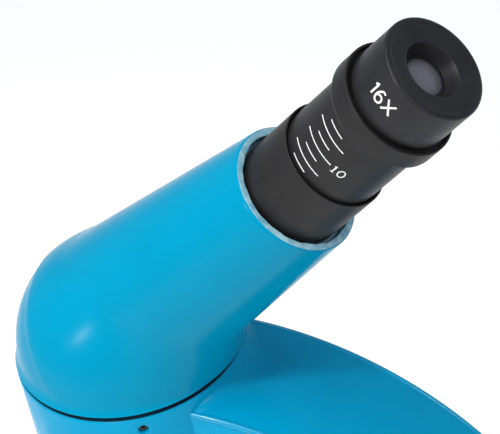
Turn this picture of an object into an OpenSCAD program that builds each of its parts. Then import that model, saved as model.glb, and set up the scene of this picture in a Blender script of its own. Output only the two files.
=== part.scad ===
// Student microscope: turning monocular head with a draw tube, three objectives on a revolving
// nosepiece, rack-and-pinion stage, two lamps and a battery base. Millimetres, +Z up, with the
// table at z = 0. Shapes are drawn round the optical axis, and place() moves that axis to its
// place in the part's own frame, whose origin is the middle of the footprint.

/* [Head] */
// Height of the joint between the arm and the turning head
seam_z = 230; // [228:1:234]
// Radius of the head where it meets the arm
head_r = 34.4; // [33:0.1:36]
// Tilt of the eyepiece tube above the horizontal
tube_tilt = 45; // [42:1:48]
// Distance along the tube's axis from the optical axis to the rim of the housing
rim_s = 92; // [88:1:96]
// Outer radius of the housing's rim
rim_r = 19; // [18.4:0.1:20]

/* [Draw tube and eyepiece] */
// Outer radius of the graduated draw tube
draw_r = 14.7; // [14.5:0.1:14.9]
// How far the fixed sleeve stands out of the rim
sleeve_out = 19; // [14:1:22]
// Distance from the sleeve's lip to the top of the draw tube's collar
draw_out = 30; // [24:1:32]
// Radius of the draw tube's collar
collar_r = 16.8; // [16.4:0.1:17.4]
// Radius of the eyepiece's cap
cap_r = 15; // [14:0.1:15.4]
// Height of the eyepiece's cap
cap_h = 15.6; // [14:0.2:17]
// Radius of the eyepiece's push-in barrel
barrel_r = 11.6; // [11.4:0.1:11.7]

/* [Nosepiece] */
// Tilt of the nosepiece's axis from the vertical
nose_tilt = 20; // [18:1:22]
// Radius of the circle on which the objectives screw in
nose_pitch_r = 17; // [16.5:0.5:18]
// Height at which the objectives' axes cross
apex_z = 206; // [204:1:207]

/* [Stage and focusing] */
// Length of the square stage
stage_l = 92; // [88:1:96]
// Height of the stage's top at its upper stop
stage_top = 113; // [111:1:113]
// Teeth of the focusing pinion
pinion_teeth = 15; // [14:1:16]
// Module of the pinion and rack
gear_module = 0.8; // [0.8]
// Radius of the focusing knobs
knob_r = 21; // [19:1:23]

/* [Stand] */
// Height of the base's top above the table
base_top = 38; // [36:1:40]
// Height of the rubber feet below the base
foot_h = 3; // [3:0.5:4]
// Half the arm's width
arm_w = 21; // [20:0.5:23]
// Radius of the base's front
base_front_r = 60; // [56:1:62]
// Radius of the base's back
base_back_r = 46; // [44:1:48]

/* [Hidden] */
eps = 0.01;
back_x = 78;                          // centre of the base's back round
front_x = -8;                         // centre of the base's front round
wall = 3;                             // casting wall of the base
axis_rise = 1.7;                      // the tube's axis meets the optical axis this far above the seam
ball_r = head_r - 1.2;                // ball of the head, centred on the tube's axis
neck_r = 27.1;                        // slanting cone where it leaves the ball
neck_shift = 6.3;                     // its centre there, above the tube's axis
lip_s = rim_s + sleeve_out;
collar_s = lip_s + draw_out;
cap_s = collar_s + 0.35;
collar_h = 6.5;
sleeve_r = draw_r + 1.05;
draw_inner = lip_s - 50;              // lower end of the draw tube
seat_r = 23.7;                        // turning ring under the head
light_r = 5.3;                        // light path beside the nosepiece's pivot
pivot_z = 18;                         // upper end of the pivot, from the apex
mount_z = 26;                         // fixed face of the nosepiece, from the apex
nose_len = nose_pitch_r / sin(nose_tilt);      // from the apex to an objective's shoulder
stage_t = 5;
pitch_r = gear_module * pinion_teeth / 2;
shaft_x = 75;
shaft_z = 88;
shaft_r = 4;
rail_x = 60;                          // front face of the guide rail
arm_x = 66;                           // front face of the arm's column
rail_bottom = 56;
rail_top = 126;
disc_x = -20;                         // pivot of the diaphragm disc
disc_r = 30;
disc_z = stage_top - 22;
clip_x = 36;
clip_y = 34;
dial_x = 22;
dial_y = -47;
rocker_x = 44;
rocker_y = -30;
bay_x = 36;                           // middle of the battery bay
bay_l = 56;
bay_w = 50;
door_screw_x = bay_x + bay_l / 2 - 6;
door_screw_y = 8;                     // between two batteries
frame_x = -((front_x - base_front_r) + (back_x + base_back_r)) / 2;

// ---- places ----

module place() translate([frame_x, 0, 0]) children();

// Along the eyepiece tube: z is the distance s from the optical axis, x points down
module on_tube(s = 0)
    translate([0, 0, seam_z + axis_rise]) rotate([0, 90 - tube_tilt, 0]) translate([0, 0, s]) children();

// Nosepiece axis: origin at the apex, z downwards and forwards
module on_nose(z = 0)
    translate([0, 0, apex_z]) rotate([0, 180 + nose_tilt, 0]) translate([0, 0, z]) children();

// Axis of objective number i: z measured from the apex, towards the specimen
module on_objective(i)
    on_nose() rotate([0, 0, 120 * i]) rotate([0, -nose_tilt, 0]) children();

module across_y(x, z) translate([x, 0, z]) rotate([90, 0, 0]) children();

// ---- shapes ----

module tube(r_out, r_in, h)
    difference() {
        cylinder(r = r_out, h = h, $fn = 96);
        translate([0, 0, -eps]) cylinder(r = r_in, h = h + 2 * eps, $fn = 96);
    }

// Biconvex lens: a disc with a spherical cap on each side
module lens(r, edge, bulge) {
    ball = (r * r + bulge * bulge) / (2 * bulge);
    union() {
        cylinder(r = r, h = edge, $fn = 64);
        intersection() {
            translate([0, 0, edge + bulge - ball]) sphere(r = ball, $fn = 128);
            translate([0, 0, edge - eps]) cylinder(r = r, h = bulge + 1, $fn = 64);
        }
    }
}

// Cheese-head screw: the head sits on z = 0, the shank runs down
module screw(head_r, head_h, shank_r, shank_l)
    difference() {
        union() {
            cylinder(r = head_r, h = head_h, $fn = 32);
            translate([0, 0, -shank_l]) cylinder(r = shank_r, h = shank_l + eps, $fn = 32);
        }
        translate([-head_r, -0.4, head_h - 0.6]) cube([2 * head_r, 0.8, 1]);
        translate([-0.4, -head_r, head_h - 0.6]) cube([0.8, 2 * head_r, 1]);
    }

// Outline of the base, drawn in by d
module base_outline(d)
    hull() {
        translate([front_x, 0]) circle(r = base_front_r - d, $fn = 96);
        translate([back_x, 0]) circle(r = base_back_r - d, $fn = 96);
    }

function bezier(a, b, c, d, n) = [for (i = [0 : n - 1]) let (t = i / n, u = 1 - t)
    u * u * u * a + 3 * u * u * t * b + 3 * u * t * t * c + t * t * t * d];

// Points of a coil of the given radius and pitch
function coil(r, pitch, turns, steps) = [for (i = [0 : turns * steps])
    [r * cos(360 * i / steps), r * sin(360 * i / steps), pitch * i / steps]];

function unit(v) = v / norm(v);

// Ring of points round one point of a path, square to its direction
function ring(path, i, r, sides) =
    let (n = len(path), a = path[max(i - 1, 0)], b = path[min(i + 1, n - 1)], t = unit(b - a),
         side = unit(cross(t, abs(t[2]) > 0.9 ? [1, 0, 0] : [0, 0, 1])), up = cross(side, t))
    [for (k = [0 : sides - 1]) path[i] + r * (cos(360 * k / sides) * side + sin(360 * k / sides) * up)];

// Closed wire swept along a path
module wire(path, r, sides = 6) {
    n = len(path);
    points = [for (i = [0 : n - 1]) each ring(path, i, r, sides)];
    skin = [for (i = [0 : n - 2], k = [0 : sides - 1], half = [0, 1])
        let (a = i * sides + k, b = i * sides + (k + 1) % sides)
        half == 0 ? [a, b, b + sides] : [a, b + sides, a + sides]];
    cap_a = [for (k = [1 : sides - 2]) [0, k + 1, k]];
    last = (n - 1) * sides;
    cap_b = [for (k = [1 : sides - 2]) [last, last + k, last + k + 1]];
    polyhedron(points = points, faces = concat(skin, cap_a, cap_b));
}

// ---- base ----

module base_solid(d, top)
    hull()
        for (p = [[front_x, base_front_r - d], [back_x, base_back_r - d]])
            translate([p[0], 0, 0]) {
                translate([0, 0, foot_h]) cylinder(r = p[1], h = top - foot_h - 9, $fn = 64);
                translate([0, 0, top - 4]) cylinder(r = p[1] - 2.6, h = 1, $fn = 64);
                translate([0, 0, top - 1]) cylinder(r = p[1] - 9, h = 1, $fn = 64);
            }

plate_screw_at = [[-52, 0], [84, 36], [84, -36], [-20, 50], [-20, -50]];
arm_bolt_at = [[80, 13], [80, -13], [104, 0]];

module base_shell()
    color("deepskyblue")
    difference() {
        union() {
            difference() {
                base_solid(0, base_top);
                translate([0, 0, -eps]) base_solid(wall, base_top - wall);
                translate([0, 0, -eps]) linear_extrude(foot_h + 2.2) base_outline(wall);
            }
            for (p = plate_screw_at)
                translate([p[0], p[1], foot_h + 2.2]) cylinder(r = 4, h = base_top - foot_h - 5, $fn = 32);
            for (p = arm_bolt_at)
                translate([p[0], p[1], base_top - 12]) cylinder(r = 6, h = 10, $fn = 32);
        }
        for (p = plate_screw_at)
            translate([p[0], p[1], foot_h]) cylinder(r = 1.5, h = 12, $fn = 32);
        for (p = arm_bolt_at)
            translate([p[0], p[1], base_top - 13]) cylinder(r = 2.6, h = 14, $fn = 32);
        translate([0, 0, base_top - 8]) cylinder(r = 17, h = 9, $fn = 64);
        translate([rocker_x, rocker_y, base_top - 8]) cube([12, 20, 18], center = true);
        translate([dial_x, dial_y, 20.5]) cylinder(r = 14, h = 5, center = true, $fn = 64);
        translate([0, 0, 18]) rotate([0, 90, 0]) cylinder(r = 4, h = 140, $fn = 32);
        translate([98, 8, base_top - 8]) cylinder(r = 3, h = 9, $fn = 32);
    }

// Underside plate with the battery tray that stands up inside the base
module bottom_plate()
    color("dimgray")
    difference() {
        union() {
            translate([0, 0, foot_h]) linear_extrude(2) base_outline(wall + 0.3);
            translate([bay_x - bay_l / 2 - 2, -bay_w / 2 - 2, foot_h]) cube([bay_l + 4, bay_w + 4, 18]);
            translate([dial_x, dial_y, foot_h]) cylinder(r = 1.95, h = 20, $fn = 32);
        }
        translate([bay_x - bay_l / 2, -bay_w / 2, foot_h - 1]) cube([bay_l, bay_w, 18.2]);
        for (p = plate_screw_at)
            translate([p[0], p[1], foot_h - 1]) cylinder(r = 1.7, h = 4, $fn = 32);
        for (p = arm_bolt_at)
            translate([p[0], p[1], foot_h - 1]) cylinder(r = 5.2, h = 4, $fn = 32);
        for (p = foot_at)
            translate([p[0], p[1], foot_h - 1]) cylinder(r = 2, h = 4, $fn = 32);
        // hinge notches of the door
        for (y = [-16, 16])
            translate([bay_x - bay_l / 2 - 3.5, y - 4, foot_h - 1]) cube([4, 8, 3.5]);
    }

door_hinge_x = bay_x - bay_l / 2 - 1.4;
door_hinge_z = foot_h + 1;

module battery_door()
    color("dimgray")
    difference() {
        union() {
            translate([bay_x - bay_l / 2 + 1, -bay_w / 2 + 0.4, foot_h]) cube([bay_l - 1.4, bay_w - 0.8, 2]);
            for (y = [-16, 16]) {
                translate([door_hinge_x, y - 3.4, foot_h]) cube([2.6, 6.8, 2]);
                translate([door_hinge_x, y, door_hinge_z]) rotate([90, 0, 0])
                    cylinder(r = 1, h = 6.8, center = true, $fn = 32);
            }
        }
        translate([door_screw_x, door_screw_y, foot_h - 1]) cylinder(r = 1.6, h = 4, $fn = 32);
        for (i = [-2 : 2])
            translate([bay_x + 8, i * 4 - 0.6, foot_h - eps]) cube([10, 1.2, 0.6]);
    }

module door_screw()
    color("silver")
    translate([door_screw_x, door_screw_y, foot_h]) mirror([0, 0, 1]) screw(3, 1.2, 1.5, 4.5);

foot_at = [[-40, 34], [-40, -34], [96, 22], [96, -22]];

module rubber_feet()
    color("black")
    for (p = foot_at)
        translate([p[0], p[1], 0]) {
            difference() {
                cylinder(r = 7, h = foot_h, $fn = 48);
                translate([0, 0, -eps]) cylinder(r = 4.2, h = 0.8, $fn = 48);
            }
            translate([0, 0, foot_h - eps]) cylinder(r = 1.95, h = 3, $fn = 32);
        }

module plate_screws()
    color("silver")
    for (p = plate_screw_at)
        translate([p[0], p[1], foot_h]) mirror([0, 0, 1]) screw(3, 1.3, 1.45, 9);

battery_r = 7.1;
battery_l = 50;

module batteries()
    color("goldenrod")
    for (i = [-1 : 1]) {
        way = i == 0 ? -1 : 1;
        translate([bay_x, i * 16, foot_h + 3 + battery_r]) rotate([0, 90 * way, 0])
            union() {
                translate([0, 0, -battery_l / 2]) cylinder(r = battery_r, h = battery_l - 1.4, $fn = 48);
                translate([0, 0, battery_l / 2 - 1.4 - eps]) cylinder(r = 2.7, h = 1.4, $fn = 32);
            }
    }

// Coil contact at each battery's flat end
module battery_springs()
    color("silver")
    for (i = [-1 : 1]) {
        way = i == 0 ? 1 : -1;
        translate([bay_x + way * (battery_l / 2 + 0.5), i * 16, foot_h + 3 + battery_r])
            rotate([0, 90 * way, 0]) wire(coil(3.6, 0.9, 1.5, 12), 0.3);
    }

module led_board()
    color("darkgreen")
    translate([-46, -22, 12]) {
        cube([34, 44, 1.6]);
        translate([6, 6, 1.6 - eps]) cube([8, 10, 2]);
        translate([20, 8, 1.6 - eps]) cube([5, 5, 1.6]);
        translate([8, 30, 1.6 - eps]) cylinder(r = 4, h = 8, $fn = 32);
        translate([22, 30, 1.6 - eps]) cube([8, 10, 4]);
    }

// Power inlet: a socket with a centre pin, opening through the back of the base
module dc_jack()
    color("black")
    translate([112, 0, 18]) rotate([0, 90, 0]) {
        difference() {
            union() {
                cylinder(r = 3.9, h = 12, $fn = 48);
                translate([-5.5, -5, -3]) cube([11, 10, 10]);
            }
            translate([0, 0, 2]) cylinder(r = 2.8, h = 11, $fn = 48);
        }
        translate([0, 0, 2 - eps]) cylinder(r = 1, h = 9, $fn = 32);
    }

// ---- lower lamp ----

module lower_led()
    color("white")
    translate([0, 0, base_top - 3]) {
        cylinder(r = 9, h = 1.6, $fn = 48);
        translate([-2.5, -2.5, 1.6 - eps]) cube([5, 5, 1]);
        translate([0, 0, 2.6 - eps]) intersection() {
            sphere(r = 2.2, $fn = 48);
            cylinder(r = 3, h = 3, $fn = 48);
        }
    }

module illuminator_housing()
    color("black")
    rotate_extrude($fn = 96)
        polygon([[10, base_top - 6], [16.8, base_top - 6], [16.8, base_top], [25, base_top],
                 [25, base_top + 5], [22.5, base_top + 8], [22.5, base_top + 14], [21, base_top + 15.5],
                 [17, base_top + 15.5], [17, base_top + 12], [15.5, base_top + 12], [15.5, base_top - 4.4],
                 [10, base_top - 4.4]]);

module illuminator_lens()
    color("white", 0.6)
    translate([0, 0, base_top + 12]) lens(16.9, 1.5, 1.8);

module power_rocker()
    color("black")
    translate([rocker_x, rocker_y, base_top + 0.2]) rotate([0, 90, 0])
        intersection() {
            cylinder(r = 16, h = 10.6, center = true, $fn = 96);
            translate([-2.6, 0, 0]) cube([9, 17, 12], center = true);
            translate([13.4, 0, 0]) cylinder(r = 16, h = 12, center = true, $fn = 96);
        }

module dimmer_wheel()
    color("black")
    translate([dial_x, dial_y, 20.5])
        difference() {
            cylinder(r = 12.6, h = 4, center = true, $fn = 96);
            for (i = [0 : 35])
                rotate([0, 0, 10 * i]) translate([12.9, 0, 0])
                    cylinder(r = 0.6, h = 5, center = true, $fn = 16);
            cylinder(r = 2, h = 5, center = true, $fn = 32);
        }

module wiring()
    color("crimson") {
        wire(concat(bezier([-14, 6, 16], [-4, 8, 30], [6, 6, 24], [6, 4, 33], 12), [[6, 4, 34.6]]), 0.7);
        wire(concat(bezier([-20, 14, 22], [20, 44, 30], [70, 34, 22], [98, 8, 26], 20),
                    bezier([98, 8, 27], [98, 8, 34], [98, 8, 38], [98, 8, 44], 4), [[98, 8, 46]]), 0.7);
    }

// ---- arm ----

function arc(centre, r, a0, a1, n) =
    [for (i = [0 : n - 1]) let (a = a0 + (a1 - a0) * i / n) centre + r * [sin(a), cos(a)]];

// Side view of the arm: distance behind the optical axis and height above the seam
arm_back = 117;
arm_top = concat(
    [[10, -5.2]],
    arc([19.5, -111], 105.8, 0, 47.1, 14),
    arc([arm_back - 74.8, -89.9], 74.8, 47.1, 90, 12),
    [[arm_back, -89.9], [arm_back + 2, base_top - seam_z]]);
arm_inside = concat(
    [[arm_x, base_top - seam_z], [arm_x, -98]],
    bezier([arm_x, -98], [arm_x, -66], [60, -52], [42, -48], 8),
    [[42, -48], [10, -48]]);

module arm_profile() polygon(concat(arm_top, arm_inside));

// C-shaped casting: column, top limb and the round socket that carries the head
module arm()
    color("deepskyblue")
    difference() {
        union() {
            translate([0, arm_w, seam_z]) rotate([90, 0, 0]) linear_extrude(2 * arm_w) arm_profile();
            translate([0, 0, seam_z - 60]) cylinder(r = head_r, h = 60 - 0.8 - 0.35, $fn = 128);
            translate([0, 0, seam_z - 0.8 - 0.35 - eps])
                cylinder(r1 = head_r, r2 = head_r - 0.8, h = 0.8, $fn = 128);
        }
        // underside cut square to the nosepiece
        on_nose(mount_z) translate([-47, -60, 0]) cube([140, 120, 60]);
        // head socket, light path, pivot and set screw
        translate([0, 0, seam_z - 15]) cylinder(r = seat_r + 0.06, h = 16, $fn = 128);
        translate([0, 0, seam_z - 32]) cylinder(r = 21, h = 20, $fn = 96);
        translate([0, 0, seam_z - 70]) cylinder(r = light_r, h = 60, $fn = 64);
        on_nose(pivot_z) cylinder(r = 3, h = 12, $fn = 32);
        set_screw_place() cylinder(r = 1.6, h = 20, $fn = 32);
        // gear pocket, shaft seats, hollow column, wiring channels and bolt holes
        translate([arm_x - 10, -6, rail_bottom]) cube([27, 12, rail_top - rail_bottom]);
        across_y(shaft_x, shaft_z) cylinder(r = 7, h = 80, center = true, $fn = 64);
        translate([87, -15, 60]) cube([24, 30, 84]);
        translate([98, 8, base_top - eps]) cylinder(r = 3, h = 40, $fn = 32);
        translate([89.5, 0, 140]) cylinder(r = 2.4, h = 38, $fn = 32);
        upper_lamp_place() translate([0, 0, -40]) cylinder(r = 3, h = 40, $fn = 32);
        upper_lamp_place() translate([0, 0, -12]) cylinder(r = 5.5, h = 20, $fn = 48);
        for (p = arm_bolt_at)
            translate([p[0], p[1], base_top - eps]) cylinder(r = 2.1, h = 16, $fn = 32);
    }

// Radial line of the screw that holds the head, from the ring outwards
module set_screw_place()
    translate([0, 0, seam_z - 5]) rotate([0, 0, -61]) rotate([0, 90, 0])
        translate([0, 0, seat_r - 1.2]) children();

module head_set_screw()
    color("silver")
    set_screw_place()
        difference() {
            union() {
                cylinder(r1 = 0.4, r2 = 1.55, h = 1.4, $fn = 32);
                translate([0, 0, 1.4 - eps]) cylinder(r = 1.55, h = 9, $fn = 32);
            }
            translate([0, 0, 8]) cylinder(r = 0.9, h = 4, $fn = 6);
        }

module arm_bolts()
    color("silver")
    for (p = arm_bolt_at)
        translate([p[0], p[1], base_top - 12]) mirror([0, 0, 1]) screw(4.2, 3, 2.05, 26);

// ---- focusing ----

rail_half = 18;

module guide_rails()
    color("dimgray")
    difference() {
        translate([0, 0, rail_bottom]) linear_extrude(rail_top - rail_bottom)
            polygon([[rail_x, -rail_half], [arm_x, 4 - rail_half], [arm_x, rail_half - 4],
                     [rail_x, rail_half]]);
        translate([rail_x - 1, -5, rail_bottom - 1]) cube([8, 10, rail_top - rail_bottom + 2]);
    }

module shaft_bushes()
    color("goldenrod")
    for (side = [-1, 1])
        across_y(shaft_x, shaft_z) translate([0, 0, side > 0 ? 7 : -arm_w - 0.5])
            tube(7, shaft_r + 0.05, arm_w - 6.5);

module focus_shaft()
    color("silver")
    across_y(shaft_x, shaft_z) cylinder(r = shaft_r, h = 2 * (arm_w + 16), center = true, $fn = 64);

// Gear outline with straight-flanked teeth, a little thin so that it turns freely
module focus_pinion()
    color("silver")
    across_y(shaft_x, shaft_z)
        difference() {
            union() {
                cylinder(r = pitch_r - 1.25 * gear_module, h = 8, center = true, $fn = 64);
                for (i = [0 : pinion_teeth - 1])
                    rotate([0, 0, 360 / pinion_teeth * i])
                        translate([0, 0, -4]) linear_extrude(8)
                            polygon([[4.6, -0.95], [pitch_r, -0.48], [pitch_r + 0.75 * gear_module, -0.2],
                                     [pitch_r + 0.75 * gear_module, 0.2], [pitch_r, 0.48], [4.6, 0.95]]);
            }
            cylinder(r = shaft_r, h = 9, center = true, $fn = 64);
        }

tooth = PI * gear_module;
slide_back = rail_x - 0.35;            // back face of the stage slide
slide_w = 21.4;                       // half its width, clear of the knobs

// Rack behind the stage slide; one of its teeth is level with the shaft at rest
module focus_rack()
    color("silver") {
        root_x = shaft_x - pitch_r - 1.25 * gear_module;
        translate([slide_back, -4, shaft_z - 8]) cube([root_x - slide_back, 8, 42]);
        for (i = [-2 : 12])
            translate([root_x - eps, 4, shaft_z + tooth * i]) rotate([90, 0, 0]) linear_extrude(8)
                polygon([[0, -0.84], [1, -0.48], [1.6, -0.26], [1.6, 0.26], [1, 0.48], [0, 0.84]]);
    }

module focus_knob(side)
    color("black")
    across_y(shaft_x, shaft_z) mirror([0, 0, side > 0 ? 1 : 0])
        difference() {
            union() {
                translate([0, 0, arm_w + 1]) cylinder(r = 11, h = 3 + eps, $fn = 64);
                translate([0, 0, arm_w + 4]) cylinder(r = knob_r, h = 15, $fn = 96);
                translate([0, 0, arm_w + 19 - eps])
                    cylinder(r1 = knob_r, r2 = knob_r - 2.5, h = 2.5, $fn = 96);
            }
            for (i = [0 : 29])
                rotate([0, 0, 12 * i]) translate([knob_r + 0.7, 0, arm_w + 6])
                    cylinder(r = 1.5, h = 11, $fn = 24);
            translate([0, 0, arm_w + 18]) cylinder(r = knob_r - 6, h = 4, $fn = 64);
            translate([0, 0, arm_w]) cylinder(r = shaft_r, h = 16, $fn = 64);
        }

// Slide that clasps the rails and reaches under the stage
module stage_slide()
    color("dimgray")
    difference() {
        union() {
            translate([0, 0, stage_top - 40]) linear_extrude(40 - stage_t - 7 + eps)
                polygon([[50, -slide_w], [arm_x - 1, -slide_w],
                         [arm_x - 1, 2.9 - rail_half], [slide_back, -rail_half - 0.65],
                         [slide_back, rail_half + 0.65], [arm_x - 1, rail_half - 2.9],
                         [arm_x - 1, slide_w], [50, slide_w]]);
            translate([16, -slide_w, stage_top - stage_t - 7]) cube([slide_back - 16, 2 * slide_w, 7]);
        }
        for (x = [24, 46], y = [-16, 16])
            translate([x, y, stage_top - stage_t - 8]) cylinder(r = 1.5, h = 9, $fn = 32);
    }

module stage_plate()
    color("black")
    difference() {
        union() {
            translate([-stage_l / 2, -stage_l / 2, stage_top - stage_t])
                cube([stage_l + 6, stage_l, stage_t]);
            translate([disc_x, 0, disc_z + 2])
                cylinder(r = 5, h = stage_top - stage_t - disc_z - 2 + eps, $fn = 48);
        }
        translate([disc_x, 0, disc_z]) cylinder(r = 2, h = 12, $fn = 32);
        translate([0, 0, stage_top - 10]) cylinder(r = 11, h = 12, $fn = 64);
        for (x = [24, 46], y = [-16, 16])
            translate([x, y, stage_top - 10]) {
                cylinder(r = 1.6, h = 12, $fn = 32);
                translate([0, 0, 8]) cylinder(r = 3.1, h = 4, $fn = 32);
            }
        for (side = [-1, 1])
            translate([clip_x, side * clip_y, stage_top - 10]) cylinder(r = 2, h = 12, $fn = 32);
    }

module stage_screws()
    color("silver")
    for (x = [24, 46], y = [-16, 16])
        translate([x, y, stage_top - 2]) screw(3, 1.7, 1.45, 9);

module clip_posts()
    color("silver")
    for (side = [-1, 1])
        translate([clip_x, side * clip_y, stage_top - stage_t]) {
            cylinder(r = 2, h = stage_t + 3, $fn = 32);
            translate([0, 0, stage_t + 1.9]) cylinder(r = 4, h = 1.6, $fn = 32);
        }

// Sprung strip that turns on its post and presses the slide near the aperture
module stage_clip(side)
    color("silver")
    translate([clip_x, side * clip_y, stage_top]) rotate([0, 0, side * 14])
        difference() {
            union() {
                translate([0, 0, 0.5]) cylinder(r = 5, h = 1, $fn = 48);
                translate([-48, -3, 0.5]) cube([48, 6, 1]);
                translate([-48, 0, 2.3]) rotate([90, 0, 0]) difference() {
                    cylinder(r = 1.8, h = 6, center = true, $fn = 48);
                    cylinder(r = 0.9, h = 7, center = true, $fn = 48);
                    translate([0, -0.8, -4]) cube([4, 4, 8]);
                }
            }
            translate([0, 0, -1]) cylinder(r = 2.05, h = 4, $fn = 32);
        }

module condenser_cell()
    color("black")
    translate([0, 0, stage_top - 19])
        difference() {
            union() {
                cylinder(r = 14, h = 14, $fn = 64);
                translate([-5, -26, 11]) cube([10, 52, 3]);
            }
            translate([0, 0, -1]) cylinder(r = 8, h = 20, $fn = 64);
            translate([0, 0, 8]) cylinder(r = 10.5, h = 8, $fn = 64);
        }

module condenser_lens()
    color("lightcyan", 0.5)
    translate([0, 0, stage_top - 11]) lens(10.4, 5, 3.5);

module diaphragm_disc()
    color("black")
    translate([disc_x, 0, disc_z])
        difference() {
            union() {
                cylinder(r = disc_r, h = 1.6, $fn = 128);
                for (i = [0 : 5])
                    rotate([0, 0, 60 * i + 30]) translate([disc_r - 3, 0, 0])
                        cylinder(r = 4.4, h = 1.6, $fn = 32);
            }
            for (i = [0 : 5])
                rotate([0, 0, 60 * i]) translate([-disc_x, 0, -1])
                    cylinder(r = 7.5 - 1.1 * i, h = 4, $fn = 48);
            translate([0, 0, -1]) cylinder(r = 2.05, h = 4, $fn = 32);
        }

module diaphragm_screw()
    color("silver")
    translate([disc_x, 0, disc_z - 0.3]) mirror([0, 0, 1])
        union() {
            cylinder(r = 4, h = 1.5, $fn = 32);
            translate([0, 0, -11.3]) cylinder(r = 2, h = 11.3 + eps, $fn = 32);
        }

// ---- upper lamp ----

module upper_lamp_place()
    translate([52, 0, 160]) rotate([0, -130, 0]) children();

module upper_lamp_housing()
    color("black")
    upper_lamp_place()
        difference() {
            union() {
                translate([0, 0, -12]) cylinder(r = 5.5, h = 14, $fn = 48);
                cylinder(r1 = 7, r2 = 8, h = 12, $fn = 64);
            }
            translate([0, 0, 6]) cylinder(r = 6, h = 7, $fn = 64);
        }

module upper_lamp_led()
    color("white")
    upper_lamp_place() translate([0, 0, 6]) union() {
        cylinder(r = 5.95, h = 2, $fn = 48);
        translate([0, 0, 2 - eps]) cylinder(r1 = 4, r2 = 2.4, h = 2, $fn = 48);
    }

// ---- nosepiece ----

module nose_mount()
    color("dimgray")
    difference() {
        on_nose(mount_z) union() {
            cylinder(r = 28, h = 2, $fn = 96);
            translate([0, 0, 2 - eps]) cylinder(r1 = 28, r2 = 26, h = 2, $fn = 96);
        }
        translate([0, 0, seam_z - 70]) cylinder(r = light_r, h = 60, $fn = 64);
        on_nose(pivot_z) cylinder(r = 3, h = 18, $fn = 32);
    }

module turret_pivot()
    color("silver")
    on_nose(pivot_z) union() {
        cylinder(r = 3, h = 12, $fn = 32);
        translate([0, 0, 12 - eps]) cylinder(r = 2.5, h = 9.8, $fn = 32);
        translate([0, 0, 21.6]) cylinder(r = 5, h = 2.4, $fn = 48);
    }

// Leaf spring whose rounded tip drops into the turret's notches
module click_spring()
    color("silver")
    on_nose(mount_z) rotate([0, 0, 60]) union() {
        translate([28.2, -3, 0]) cube([3.2, 6, 1]);
        translate([30.6, -3, 0]) cube([0.8, 6, 10]);
        translate([30.4, 0, 7.6]) rotate([90, 0, 0]) cylinder(r = 1, h = 6, center = true, $fn = 32);
    }

turret_top = 30.4;

module turret()
    color("silver")
    difference() {
        union() {
            on_nose(turret_top) cylinder(r = 29, h = 6.6, $fn = 128);
            on_nose(turret_top + 6.6 - eps) cylinder(r1 = 28.6, r2 = 20, h = 6, $fn = 128);
            for (i = [0 : 2])
                on_objective(i) translate([0, 0, nose_len - 12]) cylinder(r = 11.5, h = 12, $fn = 64);
        }
        for (i = [0 : 2])
            on_objective(i) {
                translate([0, 0, nose_len - 30]) cylinder(r = 6.5, h = 30, $fn = 64);
                translate([0, 0, nose_len - 5.5]) cylinder(r = 10.1, h = 6, $fn = 64);
            }
        on_nose(turret_top - 1) cylinder(r = 2.56, h = 30, $fn = 32);
        on_nose(39.2) cylinder(r = 5.3, h = 14, $fn = 48);
        on_nose(turret_top - 8) cylinder(r = 40, h = 8, $fn = 48);
        for (i = [0 : 2])
            on_nose(turret_top + 3.2) rotate([0, 0, 120 * i + 60]) translate([29.9, 0, 0])
                rotate([90, 0, 0]) cylinder(r = 1.6, h = 9, center = true, $fn = 32);
    }

// Objective barrel: screw thread, knurled band, body and nose, measured from its shoulder
module objective(i, body_l, body_r, nose_l, nose_r, bore_r)
    on_objective(i) translate([0, 0, nose_len])
        difference() {
            union() {
                translate([0, 0, -5]) cylinder(r = 10, h = 5 + eps, $fn = 64);
                cylinder(r = 11.6, h = 6, $fn = 96);
                translate([0, 0, 6 - eps]) cylinder(r = body_r, h = body_l - 6 + 2 * eps, $fn = 96);
                translate([0, 0, body_l]) cylinder(r1 = body_r, r2 = nose_r, h = nose_l, $fn = 96);
            }
            translate([0, 0, -6]) cylinder(r = 7, h = 6 + body_l - 4, $fn = 48);
            translate([0, 0, -6]) cylinder(r = bore_r, h = 8 + body_l + nose_l, $fn = 48);
        }

module objective_4x() color("silver") objective(0, 20, 10.6, 6, 8, 5.2);
module objective_10x() color("silver") objective(1, 26, 10.6, 8, 6, 3.4);
module objective_40x() color("silver") objective(2, 28, 10.6, 2, 8.6, 6.38);

// Sprung nose of the high-power objective, which gives way if it meets the slide
module objective_40x_nose()
    color("silver")
    on_objective(2) translate([0, 0, nose_len])
        difference() {
            union() {
                translate([0, 0, 21.7]) cylinder(r = 6.6, h = 2, $fn = 64);
                translate([0, 0, 23.6]) cylinder(r = 6.32, h = 10.4, $fn = 64);
                translate([0, 0, 34 - eps]) cylinder(r1 = 6.32, r2 = 3.4, h = 6, $fn = 64);
            }
            translate([0, 0, 20]) cylinder(r = 2, h = 24, $fn = 48);
        }

module nose_spring()
    color("silver")
    on_objective(2) translate([0, 0, nose_len + 6]) wire(coil(5.6, 2.75, 5.5, 14), 0.45);

// Front lens of each objective
module objective_lenses()
    color("lightcyan", 0.6) {
        on_objective(0) translate([0, 0, nose_len + 22]) cylinder(r = 5.15, h = 2.5, $fn = 48);
        on_objective(1) translate([0, 0, nose_len + 30]) cylinder(r = 3.35, h = 2.5, $fn = 48);
    }

// ---- head ----

// Ball on the seat with a slanting cone that runs out to the rim
module head_skin()
    intersection() {
        union() {
            translate([0, 0, seam_z + axis_rise]) sphere(r = ball_r, $fn = 128);
            hull() {
                on_tube(rim_s - 0.1) cylinder(r = rim_r, h = 0.1, $fn = 96);
                on_tube(0) translate([-neck_shift, 0, 0]) cylinder(r = neck_r, h = 0.1, $fn = 96);
            }
            translate([0, 0, seam_z]) cylinder(r = head_r, h = 2, $fn = 128);
        }
        translate([-60, -60, seam_z + 0.35]) cube([220, 120, 120]);
    }

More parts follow.
